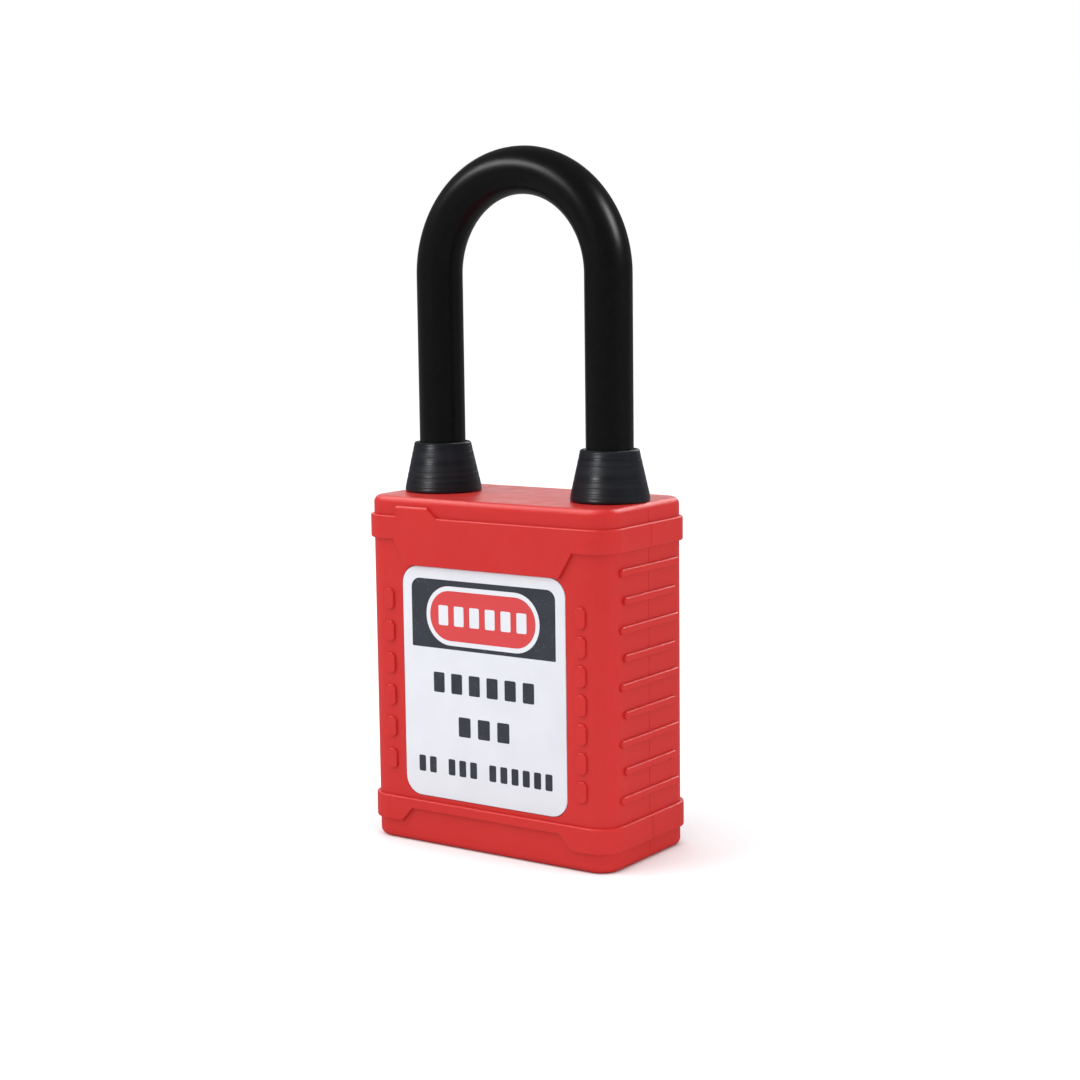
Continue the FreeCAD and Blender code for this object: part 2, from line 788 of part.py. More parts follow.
def lock_case():
    """The cast case: plug bore, pin bores, cam chamber and latch channel."""
    body = new_body("lock_case")
    sketch = new_sketch(body, "lower_outline", "XY_Plane", offset="case_low")
    rectangle(sketch, "-case_left", "case_right", "-case_half_depth", "case_half_depth")
    pad(body, "lower_block", sketch, "case_shoulder - case_low")
    sketch = new_sketch(body, "upper_outline", "XY_Plane", offset="case_shoulder - sunk")
    rectangle(sketch, "-case_left", "case_upper_half", "-case_half_depth", "case_half_depth")
    pad(body, "upper_block", sketch, "case_top - case_shoulder + sunk")
    sketch = new_sketch(body, "arm_outline", "XY_Plane", offset="case_shoulder + case_gap")
    rectangle(sketch, "-case_upper_half", "0", "-case_half_depth", "case_half_depth")
    pad(body, "upper_arm", sketch, "case_top - case_shoulder - case_gap")
    dress(
        body,
        "Fillet",
        "case_corners",
        lambda edge, p, along: near(abs(along.z), 1) and near(abs(p.y), number("case_half_depth")),
        "case_corner",
    )

    head_radius = "plug_head_radius + head_clearance"
    bores = (
        ("plug_bore", "case_low - overrun", "plug_bore_top + overrun", "plug_bore_radius"),
        ("head_bore", "case_low - overrun", "plug_head_high + head_clearance", head_radius),
        ("cam_chamber", "plug_bore_top", "case_top + overrun", "cam_chamber_radius"),
    )
    for name, low, high, radius in bores:
        sketch = new_sketch(body, name + "_outline", "XY_Plane", offset=low)
        circle(sketch, "0", "0", radius)
        pocket(body, name, sketch, "(%s) - (%s)" % (high, low), away=True)
    sketch = new_sketch(body, "channel_outline", "XZ_Plane")
    rectangle(
        sketch,
        "-case_upper_half - overrun",
        "case_upper_half + overrun",
        "latch_low - latch_floor_gap",
        "case_top + overrun",
    )
    pocket(body, "latch_channel", sketch, "2 * latch_channel_half", both=True)

    sketch = new_sketch(body, "pin_bores_outline", "YZ_Plane", offset="pin_floor")
    for i in range(PIN_COUNT):
        circle(sketch, "0", pin_level(i), "pin_bore_radius")
    pocket(body, "pin_bores", sketch, "case_right - pin_floor + overrun", away=True)
    sketch = new_sketch(body, "cover_seat_outline", "YZ_Plane", offset="case_right - pin_cover_thick")
    rectangle(sketch, "-pin_cover_half", "pin_cover_half", "pin_cover_low", "pin_cover_high")
    pocket(body, "cover_seat", sketch, "pin_cover_thick + overrun", away=True)
    return keep(body, "lock_case")


def case_cover():
    """The lid over the latches, with a round boss that keeps them down."""
    body = new_body("case_cover")
    sketch = new_sketch(body, "lid_outline", "XY_Plane", offset="case_top")
    rectangle(sketch, "-case_upper_half", "case_upper_half", "-case_half_depth", "case_half_depth")
    pad(body, "lid", sketch, "cover_thick")
    dress(
        body,
        "Fillet",
        "lid_corners",
        lambda edge, p, along: near(abs(along.z), 1),
        "case_corner",
    )
    sketch = new_sketch(body, "boss_outline", "XY_Plane", offset="case_top - cover_boss_high")
    circle(sketch, "0", "0", "cover_boss_radius")
    pad(body, "boss", sketch, "cover_boss_high + sunk")
    return keep(body, "case_cover")


def pin_cover():
    """The strip that closes the pin bores and backs their springs."""
    body = new_body("pin_cover")
    inner_face = "case_right - pin_cover_thick + pin_cover_gap"
    sketch = new_sketch(body, "strip_outline", "YZ_Plane", offset=inner_face)
    rectangle(
        sketch,
        "-pin_cover_half + pin_cover_gap",
        "pin_cover_half - pin_cover_gap",
        "pin_cover_low + pin_cover_gap",
        "pin_cover_high - pin_cover_gap",
    )
    pad(body, "strip", sketch, "pin_cover_thick - pin_cover_gap")
    dress(
        body,
        "Chamfer",
        "strip_rims",
        lambda edge, p, along: near(p.x, number("case_right")),
        "pin_cover_chamfer",
    )
    return keep(body, "pin_cover")


# ---------------------------------------------------------------- plug
def plug():
    """The turned plug: head, keyway, pin bores, clip groove and tang."""
    body = new_body("plug")
    sketch = new_sketch(body, "plug_section", "XZ_Plane")
    outline(
        sketch,
        [
            ("0", "plug_low"),
            ("plug_head_radius - plug_head_chamfer", "plug_low"),
            ("plug_head_radius", "plug_low + plug_head_chamfer"),
            ("plug_head_radius", "plug_head_high"),
            ("plug_radius", "plug_head_high"),
            ("plug_radius", "groove_low"),
            ("groove_radius", "groove_low"),
            ("groove_radius", "groove_high"),
            ("plug_radius", "groove_high"),
            ("plug_radius", "plug_top - plug_chamfer"),
            ("plug_radius - plug_chamfer", "plug_top"),
            ("0", "plug_top"),
        ],
    )
    turned(body, "plug_turning", sketch)
    sketch = new_sketch(body, "tang_outline", "XY_Plane", offset="plug_top - sunk")
    rectangle(sketch, "-tang_wide / 2", "tang_wide / 2", "-tang_thick / 2", "tang_thick / 2")
    pad(body, "tang", sketch, "tang_top - plug_top + sunk")

    sketch = new_sketch(body, "keyway_outline", "XY_Plane", offset="plug_low - overrun")
    outline(
        sketch,
        [
            ("-keyway_wide / 2", "-keyway_front"),
            ("keyway_wide / 2", "-keyway_front"),
            ("keyway_wide / 2", "-ward_high"),
            ("keyway_wide / 2 + ward_wide", "-ward_high"),
            ("keyway_wide / 2 + ward_wide", "0"),
            ("keyway_wide / 2", "0"),
            ("keyway_wide / 2", "keyway_back"),
            ("-keyway_wide / 2", "keyway_back"),
        ],
    )
    pocket(body, "keyway", sketch, "keyway_top - plug_low + overrun", away=True)
    sketch = new_sketch(body, "plug_pin_bores_outline", "XZ_Plane", offset="-pin_floor")
    for i in range(PIN_COUNT):
        circle(sketch, "0", pin_level(i), "pin_bore_radius")
    pocket(body, "plug_pin_bores", sketch, "plug_radius + overrun")
    return keep(body, "plug")


def plug_clip():
    """A flat spring clip in the plug's groove, open at one side."""
    disc = doc.addObject("Part::Cylinder", "clip_disc")
    bind(disc, Radius="clip_outer_radius", Height="clip_thick")
    place(disc, z="clip_low")
    hole = doc.addObject("Part::Cylinder", "clip_hole")
    bind(hole, Radius="clip_inner_radius", Height="clip_thick + 2 * overrun")
    place(hole, z="clip_low - overrun")
    mouth = doc.addObject("Part::Box", "clip_mouth")
    bind(
        mouth,
        Length="clip_outer_radius + overrun",
        Width="clip_mouth_wide",
        Height="clip_thick + 2 * overrun",
    )
    place(mouth, y="-clip_mouth_wide / 2", z="clip_low - overrun")
    ring = doc.addObject("Part::Cut", "clip_ring")
    ring.Base = disc
    ring.Tool = hole
    clip = doc.addObject("Part::Cut", "clip")
    clip.Base = ring
    clip.Tool = mouth
    return keep(clip, "plug_clip")


def cam_slot(travel, start_angle):
    """The cutter of one spiral slot, whose radius grows evenly over a quarter turn."""
    half = number("cam_slot_half")
    start = number("cam_start_radius")
    low = number("cam_slot_low")

    def spiral(share, aside):
        angle = start_angle + share * math.pi / 2
        radius = start + travel * share + aside
        return FreeCAD.Vector(radius * math.cos(angle), radius * math.sin(angle), low)

    def cap(share, outwards):
        """The round end of the slot at one end of its spiral."""
        centre = spiral(share, 0)
        angle = start_angle + share * math.pi / 2
        along = FreeCAD.Vector(-math.sin(angle), math.cos(angle), 0) * outwards
        return centre + along * half

    shares = [i / OUTLINE_STEPS for i in range(OUTLINE_STEPS + 1)]
    outer = Part.BSplineCurve()
    outer.interpolate([spiral(share, half) for share in shares])
    inner = Part.BSplineCurve()
    inner.interpolate([spiral(share, -half) for share in shares])
    first = Part.Arc(spiral(0, half), cap(0, -1), spiral(0, -half))
    last = Part.Arc(spiral(1, half), cap(1, 1), spiral(1, -half))
    edges = [outer.toShape(), last.toShape(), inner.toShape(), first.toShape()]
    face = Part.Face(Part.Wire(Part.__sortEdges__(edges)))
    return face.extrude(FreeCAD.Vector(0, 0, number("cam_top") - low + number("overrun")))


def cam():
    """The cam: a hub over the plug's tang, and a disc with one spiral slot for each latch."""
    low = number("cam_low")
    disc_low = number("cam_disc_low")
    overrun = number("overrun")
    hub = Part.makeCylinder(
        number("cam_hub_radius"), disc_low - low + number("sunk"), FreeCAD.Vector(0, 0, low)
    )
    disc = Part.makeCylinder(
        number("cam_radius"), number("cam_top") - disc_low, FreeCAD.Vector(0, 0, disc_low)
    )
    wide = number("tang_wide") + 2 * number("tang_clearance")
    thick = number("tang_thick") + 2 * number("tang_clearance")
    socket = Part.makeBox(
        wide,
        thick,
        number("tang_top") + number("tang_spare") - low + overrun,
        FreeCAD.Vector(-wide / 2, -thick / 2, low - overrun),
    )
    solid = hub.fuse(disc).cut(socket)
    solid = solid.cut(cam_slot(number("toe_travel"), 0.0))
    solid = solid.cut(cam_slot(number("heel_travel"), math.pi))
    feature = doc.addObject("Part::Feature", "cam_solid")
    feature.Shape = solid.removeSplitter()
    return keep(feature, "cam")


# ---------------------------------------------------------------- latches
def latch(label, side):
    """A sliding bolt with a ramp on its nose, a drive pin below and a spring pocket behind."""
    body = new_body(label)
    sketch = new_sketch(body, "bolt_section", "XZ_Plane")
    outline(
        sketch,
        [
            ("latch_inner", "latch_low"),
            ("latch_outer", "latch_low"),
            ("latch_outer", "latch_high - latch_ramp"),
            ("latch_outer - latch_ramp", "latch_high"),
            ("latch_inner", "latch_high"),
        ],
    )
    pad(body, "bolt", sketch, "2 * latch_half", both=True)
    sketch = new_sketch(body, "drive_pin_outline", "XY_Plane", offset="drive_pin_low")
    circle(sketch, "cam_start_radius", "0", "drive_pin_radius")
    pad(body, "drive_pin", sketch, "latch_low - drive_pin_low + sunk")
    sketch = new_sketch(body, "spring_pocket_outline", "YZ_Plane", offset="latch_inner - overrun")
    circle(sketch, "0", "(latch_low + latch_high) / 2", "latch_pocket_radius")
    pocket(body, "spring_pocket", sketch, "latch_pocket_deep + overrun", away=True)
    if side < 0:
        place(body, turn=FreeCAD.Rotation(FreeCAD.Vector(0, 0, 1), 180))
    return keep(body, label)


def heel_retainer():
    """The steel fork round the heel's neck, held in slots of both shells."""
    body = new_body("heel_retainer")
    offset = "(inside_width + shackle_diameter) / 2"
    sketch = new_sketch(body, "fork_outline", "XY_Plane", offset="retainer_low")
    rectangle(sketch, "-retainer_left", "-retainer_right", "-retainer_half", "retainer_half")
    pad(body, "fork", sketch, "retainer_thick")
    dress(
        body, "Fillet", "fork_corners", lambda edge, p, along: near(abs(along.z), 1), "retainer_corner"
    )
    sketch = new_sketch(body, "fork_hole_outline", "XY_Plane", offset="retainer_low - overrun")
    circle(sketch, "-" + offset, "0", "retainer_slot_half")
    pocket(body, "fork_hole", sketch, "retainer_thick + 2 * overrun", away=True)
    sketch = new_sketch(body, "fork_mouth_outline", "XY_Plane", offset="retainer_low - overrun")
    rectangle(
        sketch, "-retainer_left - overrun", "-" + offset, "-retainer_slot_half", "retainer_slot_half"
    )
    pocket(body, "fork_mouth", sketch, "retainer_thick + 2 * overrun", away=True)
    return keep(body, "heel_retainer")


# ---------------------------------------------------------------- pins
def key_pin(i):
    """A pin with a cone tip in the plug, cut to one depth of the key."""
    body = new_body("key_pin_%d" % (i + 1))
    tip = str(KEY_PIN_TIPS[i])
    sketch = new_sketch(body, "pin_section", "XZ_Plane")
    outline(
        sketch,
        [
            ("0", tip),
            ("pin_tip_radius", tip),
            ("pin_radius", tip + " + pin_tip_high"),
            ("pin_radius", "key_pin_top - pin_chamfer"),
            ("pin_radius - pin_chamfer", "key_pin_top"),
            ("0", "key_pin_top"),
        ],
    )
    turned(body, "pin", sketch)
    place(body, z=pin_level(i), turn=FreeCAD.Rotation(FreeCAD.Vector(1, 0, 0), -90))
    return keep(body, "key_pin_%d" % (i + 1))


def driver_pin(i):
    """A plain pin in the case, pressed against the plug by its spring."""
    body = new_body("driver_pin_%d" % (i + 1))
    sketch = new_sketch(body, "pin_section", "XZ_Plane")
    outline(
        sketch,
        [
            ("0", "driver_start"),
            ("pin_radius - pin_chamfer", "driver_start"),
            ("pin_radius", "driver_start + pin_chamfer"),
            ("pin_radius", "driver_start + driver_length - pin_chamfer"),
            ("pin_radius - pin_chamfer", "driver_start + driver_length"),
            ("0", "driver_start + driver_length"),
        ],
    )
    turned(body, "pin", sketch)
    place(body, z=pin_level(i), turn=FreeCAD.Rotation(FreeCAD.Vector(0, 1, 0), 90))
    return keep(body, "driver_pin_%d" % (i + 1))


def coil_spring(label, length, kind, turns, placement):
    """A round-wire spring along local Z with its first and last turns wound nearly flat."""
    wire = number(kind + "_wire")
    middle = number(kind + "_spring_radius") - wire
    flat_pitch = wire * END_PITCH
    open_length = length - 2 * wire - 2 * flat_pitch
    helices = []
    rise = wire
    for pitch, height in (
        (flat_pitch, flat_pitch),
        (open_length / (turns - 2), open_length),
        (flat_pitch, flat_pitch),
    ):
        helix = Part.makeHelix(pitch, height, middle)
        helix.translate(FreeCAD.Vector(0, 0, rise))
        helices.append(helix)
        rise += height
    path = Part.Wire(Part.__sortEdges__([edge for helix in helices for edge in helix.Edges]))
    start = FreeCAD.Vector(middle, 0, wire)
    ring = Part.Wire(Part.makeCircle(wire, start, FreeCAD.Vector(0, 1, 0)))
    feature = doc.addObject("Part::Feature", label + "_solid")
    feature.Shape = path.makePipeShell([ring], True, True)
    feature.Placement = placement
    return keep(feature, label)


def springs():
    """The shackle's spring, the spring between the latches and one spring for each pin stack."""
    gap = number("spring_gap")
    leg = (number("inside_width") + number("shackle_diameter")) / 2
    low = number("heel_bore_low") + gap
    high = number("body_height") - number("heel_depth") - gap
    upright = FreeCAD.Placement(FreeCAD.Vector(-leg, 0, low), FreeCAD.Rotation())
    coil_spring("shackle_spring", high - low, "shackle", SHACKLE_TURNS, upright)

    along_x = FreeCAD.Rotation(FreeCAD.Vector(0, 1, 0), 90)
    reach = number("latch_inner") + number("latch_pocket_deep") - gap
    level = (number("latch_low") + number("latch_high")) / 2
    lying = FreeCAD.Placement(FreeCAD.Vector(-reach, 0, level), along_x)
    coil_spring("latch_spring", 2 * reach, "latch", LATCH_TURNS, lying)

    start = number("driver_start") + number("driver_length") + gap
    end = number("case_right") - number("pin_cover_thick") - gap
    for i in range(PIN_COUNT):
        level = number("pin_low") + i * number("pin_pitch")
        lying = FreeCAD.Placement(FreeCAD.Vector(start, 0, level), along_x)
        coil_spring("pin_spring_%d" % (i + 1), end - start, "pin", PIN_TURNS, lying)


# ---------------------------------------------------------------- the whole lock
shell("front_shell", 1, True)
shell("rear_shell", -1, False)
label_plate("front_label", False)
label_plate("rear_label", True)
shackle()
sleeve("heel_sleeve", -1)
sleeve("toe_sleeve", 1)
lock_case()
case_cover()
pin_cover()
plug()
plug_clip()
cam()
latch("toe_latch", 1)
latch("heel_latch", -1)
heel_retainer()
for i in range(PIN_COUNT):
    key_pin(i)
    driver_pin(i)
springs()

doc.recompute()
for thing in doc.Objects:
    if "Invalid" in thing.State or "Error" in thing.State:
        raise RuntimeError("%s failed: %s" % (thing.Name, thing.State))
os.makedirs("parts", exist_ok=True)
for part in kept:
    shape = part.Shape
    if shape.isNull() or not shape.isValid():
        raise RuntimeError("%s has no valid shape" % part.Label)
    shape.exportStep("parts/%s.step" % part.Label)
    print("%-16s solids %d volume %9.2f" % (part.Label, len(shape.Solids), shape.Volume), shape.BoundBox)
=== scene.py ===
"""Looks of the safety padlock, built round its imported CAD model.

The moulded shells and the lock's inner parts are the CAD nodes themselves, with
procedural finishes.  The shackle, the dust sleeves, the two labels and the pin
springs are built here in finer detail and stand for their CAD nodes.  The scene
is in metres, in the same frame as the CAD model; sizes written here are in mm
unless their comment says otherwise.
"""

import bmesh
import bpy
import json
import math
from mathutils import Matrix, Vector


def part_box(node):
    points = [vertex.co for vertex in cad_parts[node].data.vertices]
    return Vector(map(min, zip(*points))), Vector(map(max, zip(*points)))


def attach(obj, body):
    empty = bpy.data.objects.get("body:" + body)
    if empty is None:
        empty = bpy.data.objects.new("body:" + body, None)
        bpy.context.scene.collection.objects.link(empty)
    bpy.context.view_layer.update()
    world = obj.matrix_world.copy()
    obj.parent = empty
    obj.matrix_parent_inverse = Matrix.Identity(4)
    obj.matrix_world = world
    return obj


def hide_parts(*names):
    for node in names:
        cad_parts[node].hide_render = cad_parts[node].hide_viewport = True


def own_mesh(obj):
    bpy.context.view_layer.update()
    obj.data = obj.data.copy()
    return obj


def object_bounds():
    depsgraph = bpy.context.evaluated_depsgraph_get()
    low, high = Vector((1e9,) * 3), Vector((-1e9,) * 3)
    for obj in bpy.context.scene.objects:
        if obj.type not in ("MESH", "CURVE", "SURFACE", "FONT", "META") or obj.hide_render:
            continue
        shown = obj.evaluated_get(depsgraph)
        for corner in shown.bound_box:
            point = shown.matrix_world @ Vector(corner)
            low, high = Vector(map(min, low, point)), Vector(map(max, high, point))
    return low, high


MM = 0.001

# camera and lamps
CAMERA_AZIMUTH = 34.76  # degrees round the lock from the label's front
CAMERA_ELEVATION = 7.6  # degrees
CAMERA_ROLL = -0.72  # degrees
CAMERA_DISTANCE = 260.4
CAMERA_TARGET = (2.31, 0, 39.363)
LENS = 68.0
SENSOR_WIDTH = 36.0
LAMP_DISTANCE = 0.6  # metres

# shackle
TOE_LEG = 37.5  # from the foot of the bow to the toe leg's end
END_CHAMFER = 0.9
NECK_START = 2.0  # the neck's place above the heel leg's end
NECK_END = 15.2
NECK_RADIUS = 2.0
NOTCH_START = 1.7  # the latch notches' place above the toe leg's end
NOTCH_HIGH = 3.8
TOE_NOTCH = 1.9
HEEL_NOTCH = 1.0
MOULD_RISE = 0.008
MOULD_HALF_ANGLE = 1.6  # degrees to each side of the mould line
BOW_STEPS = 72
BAR_SIDES = 64
CUT_OVERRUN = 1

# dust sleeves
SLEEVE_TOP = 3.75
SLEEVE_BORE = 3.02
SLEEVE_FOOT = 0.55
SLEEVE_RIM = 0.30
SLEEVE_RINGS = 23

# labels
LABEL_CORNERS = (2.4,) * 4
HEADER_CORNERS = (0.15, 0.15, 1.3, 1.3)
BAR_CORNERS = (0.2,) * 4
RULE_CORNERS = (0.1,) * 4
LABEL_SOFT = 0.06
INK_LAYER = 0.010
INK_ROOT = 0.02  # how far ink reaches into the film
RULES = 5
RULE_LEVEL = 9.9
RULE_PITCH = 4.1
RULE_WIDTH = 0.22

# pin springs
PIN_WIRE = 0.14
PIN_TURNS = 7
END_PITCH = 2.15  # pitch of the end turns, in wire radii
COIL_STEPS = 24
WIRE_SIDES = 10

FLOOR_HALF = 3.0  # metres

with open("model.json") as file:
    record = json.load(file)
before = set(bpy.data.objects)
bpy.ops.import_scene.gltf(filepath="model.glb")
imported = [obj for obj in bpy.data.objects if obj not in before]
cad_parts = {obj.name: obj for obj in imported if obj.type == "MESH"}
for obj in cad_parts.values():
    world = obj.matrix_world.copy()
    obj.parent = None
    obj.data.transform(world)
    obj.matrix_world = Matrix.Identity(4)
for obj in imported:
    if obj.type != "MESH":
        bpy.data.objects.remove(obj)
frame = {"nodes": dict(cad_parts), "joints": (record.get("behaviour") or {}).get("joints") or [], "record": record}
cad_low, cad_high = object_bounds()


# ---------------------------------------------------------------- camera, lights, floor
def make_camera():
    """A long lens a little above the label, looking over the lock's right corner."""
    azimuth = math.radians(CAMERA_AZIMUTH)
    elevation = math.radians(CAMERA_ELEVATION)
    roll = math.radians(CAMERA_ROLL)
    distance = CAMERA_DISTANCE * MM
    target = Vector([part * MM for part in CAMERA_TARGET])
    back = Vector(
        (
            math.sin(azimuth) * math.cos(elevation),
            -math.cos(azimuth) * math.cos(elevation),
            math.sin(elevation),
        )
    )
    level = Vector((math.cos(azimuth), math.sin(azimuth), 0))
    upright = level.cross(-back)
    right = level * math.cos(roll) + upright * math.sin(roll)
    up = upright * math.cos(roll) - level * math.sin(roll)
    data = bpy.data.cameras.new("camera")
    data.lens = LENS
    data.sensor_width = SENSOR_WIDTH
    data.clip_start = 0.01
    data.clip_end = 20.0
    camera = bpy.data.objects.new("camera", data)
    bpy.context.scene.collection.objects.link(camera)
    pose = Matrix((right, up, back)).transposed().to_4x4()
    pose.translation = target + back * distance
    camera.matrix_world = pose
    bpy.context.scene.camera = camera


def direction(azimuth, elevation):
    """The unit vector from the lock to a place round it; azimuth 0 is in front of the label."""
    a = math.radians(azimuth)
    e = math.radians(elevation)
    return Vector((math.sin(a) * math.cos(e), -math.cos(a) * math.cos(e), math.sin(e)))


def place_lamp(name, kind, away, energy):
    """A lamp away from the middle of the lock, facing it."""
    data = bpy.data.lights.new(name, kind)
    data.energy = energy
    lamp = bpy.data.objects.new(name, data)
    bpy.context.scene.collection.objects.link(lamp)
    lamp.location = (cad_low + cad_high) / 2 + away
    lamp.rotation_mode = "QUATERNION"
    lamp.rotation_quaternion = away.to_track_quat("Z", "Y")
    return lamp


def softbox(name, azimuth, elevation, width, height, radiance):
    """A rectangular lamp, its sides in metres, with a given brightness of its face."""
    energy = radiance * math.pi * width * height
    lamp = place_lamp(name, "AREA", direction(azimuth, elevation) * LAMP_DISTANCE, energy)
    lamp.data.shape = "RECTANGLE"
    lamp.data.size = width
    lamp.data.size_y = height
    return lamp


def fill(name, *place):
    """A softbox that lights colours but leaves no reflection."""
    softbox(name, *place).visible_glossy = False


def glint(name, receivers, *place):
    """A softbox that shows only as a reflection, in the given pieces."""
    lamp = softbox(name, *place)
    lamp.visible_diffuse = False
    group = bpy.data.collections.new(name + "_receivers")
    for piece in receivers:
        group.objects.link(piece)
    lamp.light_linking.receiver_collection = group


def sky_panel(azimuth, elevation, strength, spread):
    """Even light from a wide part of the ceiling, with no reflection of its own."""
    lamp = place_lamp("sky_panel", "SUN", direction(azimuth, elevation), strength)
    lamp.data.angle = math.radians(spread)
    lamp.visible_glossy = False


def make_world():
    """White to look at, a soft grey room as light, and a darker one in reflections."""
    world = bpy.data.worlds.new("studio")
    bpy.context.scene.world = world
    world.use_nodes = True
    tree = world.node_tree
    tree.nodes.clear()
    path = tree.nodes.new("ShaderNodeLightPath")
    shades = []
    for colour, strength in (((0.95, 0.97, 1.0), 0.50), ((0.95, 0.97, 1.0), 0.20), ((1, 1, 1), 1.0)):
        shade = tree.nodes.new("ShaderNodeBackground")
        shade.inputs["Color"].default_value = (*colour, 1)
        shade.inputs["Strength"].default_value = strength
        shades.append(shade.outputs["Background"])
    result = shades[0]
    for shade, ray in ((shades[1], "Is Glossy Ray"), (shades[2], "Is Camera Ray")):
        mix = tree.nodes.new("ShaderNodeMixShader")
        tree.links.new(path.outputs[ray], mix.inputs["Fac"])
        tree.links.new(result, mix.inputs[1])
        tree.links.new(shade, mix.inputs[2])
        result = mix.outputs["Shader"]
    output = tree.nodes.new("ShaderNodeOutputWorld")
    tree.links.new(result, output.inputs["Surface"])


# ---------------------------------------------------------------- materials
class Finish:
    """A material with one Principled shader, and short ways to add nodes in front of it."""

    def __init__(self, name, colour, roughness, metallic=0.0, specular=0.5):
        self.material = bpy.data.materials.new(name)
        self.material.use_nodes = True
        self.material.diffuse_color = (*colour, 1)
        self.tree = self.material.node_tree
        self.shader = self.tree.nodes["Principled BSDF"]
        self.shader.inputs["Base Color"].default_value = (*colour, 1)
        self.shader.inputs["Roughness"].default_value = roughness
        self.shader.inputs["Metallic"].default_value = metallic
        self.shader.inputs["Specular IOR Level"].default_value = specular
        self.position = self.add("ShaderNodeTexCoord").outputs["Object"]
        self.normal = None

    def add(self, kind, **values):
        """A node with some of its inputs set or linked by name."""
        node = self.tree.nodes.new(kind)
        for name, value in values.items():
            self.put(node.inputs[name.replace("_", " ")], value)
        return node

    def put(self, socket, value):
        if isinstance(value, bpy.types.NodeSocket):
            self.tree.links.new(value, socket)
        else:
            socket.default_value = value

    def stretched(self, x, y, z):
        """The position, scaled along each axis."""
        node = self.add("ShaderNodeMapping", Vector=self.position)
        node.inputs["Scale"].default_value = (x, y, z)
        return node.outputs["Vector"]

    def noise(self, scale, detail=3.0, roughness=0.5, vector=None):
        """Noise from about 0 to 1; scale is its grains to the metre."""
        node = self.add(
            "ShaderNodeTexNoise",
            Vector=vector or self.position,
            Scale=scale,
            Detail=detail,
            Roughness=roughness,
        )
        return node.outputs["Fac"]

    def ramp(self, value, low, high, start=0.3, end=0.7):
        """A value spread from low to high between two inputs."""
        node = self.add("ShaderNodeMapRange", Value=value)
        node.inputs["From Min"].default_value = start
        node.inputs["From Max"].default_value = end
        node.inputs["To Min"].default_value = low
        node.inputs["To Max"].default_value = high
        return node.outputs["Result"]

    def blend(self, share, first, second):
        """Two colours mixed by a share."""
        node = self.tree.nodes.new("ShaderNodeMix")
        node.data_type = "RGBA"
        self.put(node.inputs["Factor"], share)
        for socket, value in ((node.inputs[6], first), (node.inputs[7], second)):
            self.put(socket, value if isinstance(value, bpy.types.NodeSocket) else (*value, 1))
        return node.outputs[2]

    def colour(self, value):
        self.put(self.shader.inputs["Base Color"], value)

    def roughness(self, value):
        self.put(self.shader.inputs["Roughness"], value)

    def bump(self, height, depth, strength=1.0):
        """Relief of a depth in metres, on top of any relief added before."""
        node = self.add("ShaderNodeBump", Height=height, Strength=strength, Distance=depth)
        if self.normal is not None:
            self.tree.links.new(self.normal, node.inputs["Normal"])
        self.normal = node.outputs["Normal"]
        self.put(self.shader.inputs["Normal"], self.normal)


def red_nylon():
    """Satin moulded nylon: flow marks, a fine spark-eroded grain and slight sink."""
    finish = Finish("red_nylon", (0.53, 0.019, 0.016), 0.38, specular=0.3)
    flow = finish.noise(70, detail=2, vector=finish.stretched(1, 1, 0.5))
    cloud = finish.noise(420, detail=4)
    tone = finish.blend(finish.ramp(flow, 0, 1), (0.510, 0.0175, 0.0150), (0.550, 0.0210, 0.0180))
    finish.colour(finish.blend(finish.ramp(cloud, 0, 0.35), tone, (0.52, 0.024, 0.021)))
    finish.roughness(finish.ramp(cloud, 0.33, 0.43))
    finish.bump(finish.noise(90, detail=1), 0.06 * MM)
    finish.bump(finish.noise(3600, detail=2), 0.004 * MM)
    return finish.material


def black_nylon():
    """Glossy moulded nylon with faint draw marks."""
    finish = Finish("black_nylon", (0.0022, 0.0022, 0.0024), 0.28, specular=0.2)
    streak = finish.noise(260, detail=3, vector=finish.stretched(1, 1, 0.08))
    cloud = finish.noise(900, detail=3)
    finish.colour(finish.blend(finish.ramp(cloud, 0, 1), (0.0018, 0.0018, 0.0020), (0.0028, 0.0028, 0.0030)))
    finish.roughness(finish.ramp(streak, 0.27, 0.33))
    finish.bump(finish.noise(140, detail=1), 0.03 * MM)
    finish.bump(finish.noise(5200, detail=2), 0.0010 * MM)
    return finish.material


def black_rubber():
    """Blue-black rubber with a bloom in its turned lines."""
    finish = Finish("black_rubber", (0.006, 0.007, 0.011), 0.40, specular=0.35)
    lines = finish.noise(1900, detail=3, vector=finish.stretched(0.03, 0.03, 1))
    cloud = finish.noise(520, detail=4)
    dusty = finish.blend(finish.ramp(lines, 0, 0.7), (0.0045, 0.0053, 0.0080), (0.014, 0.0160, 0.022))
    finish.colour(finish.blend(finish.ramp(cloud, 0, 0.5), dusty, (0.009, 0.010, 0.013)))
    finish.roughness(finish.ramp(lines, 0.30, 0.46))
    finish.bump(lines, 0.010 * MM)
    finish.bump(finish.noise(4200, detail=2), 0.003 * MM)
    return finish.material


def label_film(name, colour, roughness=0.34):
    """Vinyl film or ink on it, with a slight orange peel."""
    finish = Finish(name, colour, roughness)
    cloud = finish.noise(240, detail=3)
    darker = tuple(0.955 * part for part in colour)
    finish.colour(finish.blend(finish.ramp(cloud, 0, 1), darker, colour))
    finish.roughness(finish.ramp(cloud, roughness - 0.04, roughness + 0.05))
    finish.bump(finish.noise(160, detail=1), 0.02 * MM)
    finish.bump(finish.noise(2600, detail=2), 0.002 * MM)
    return finish


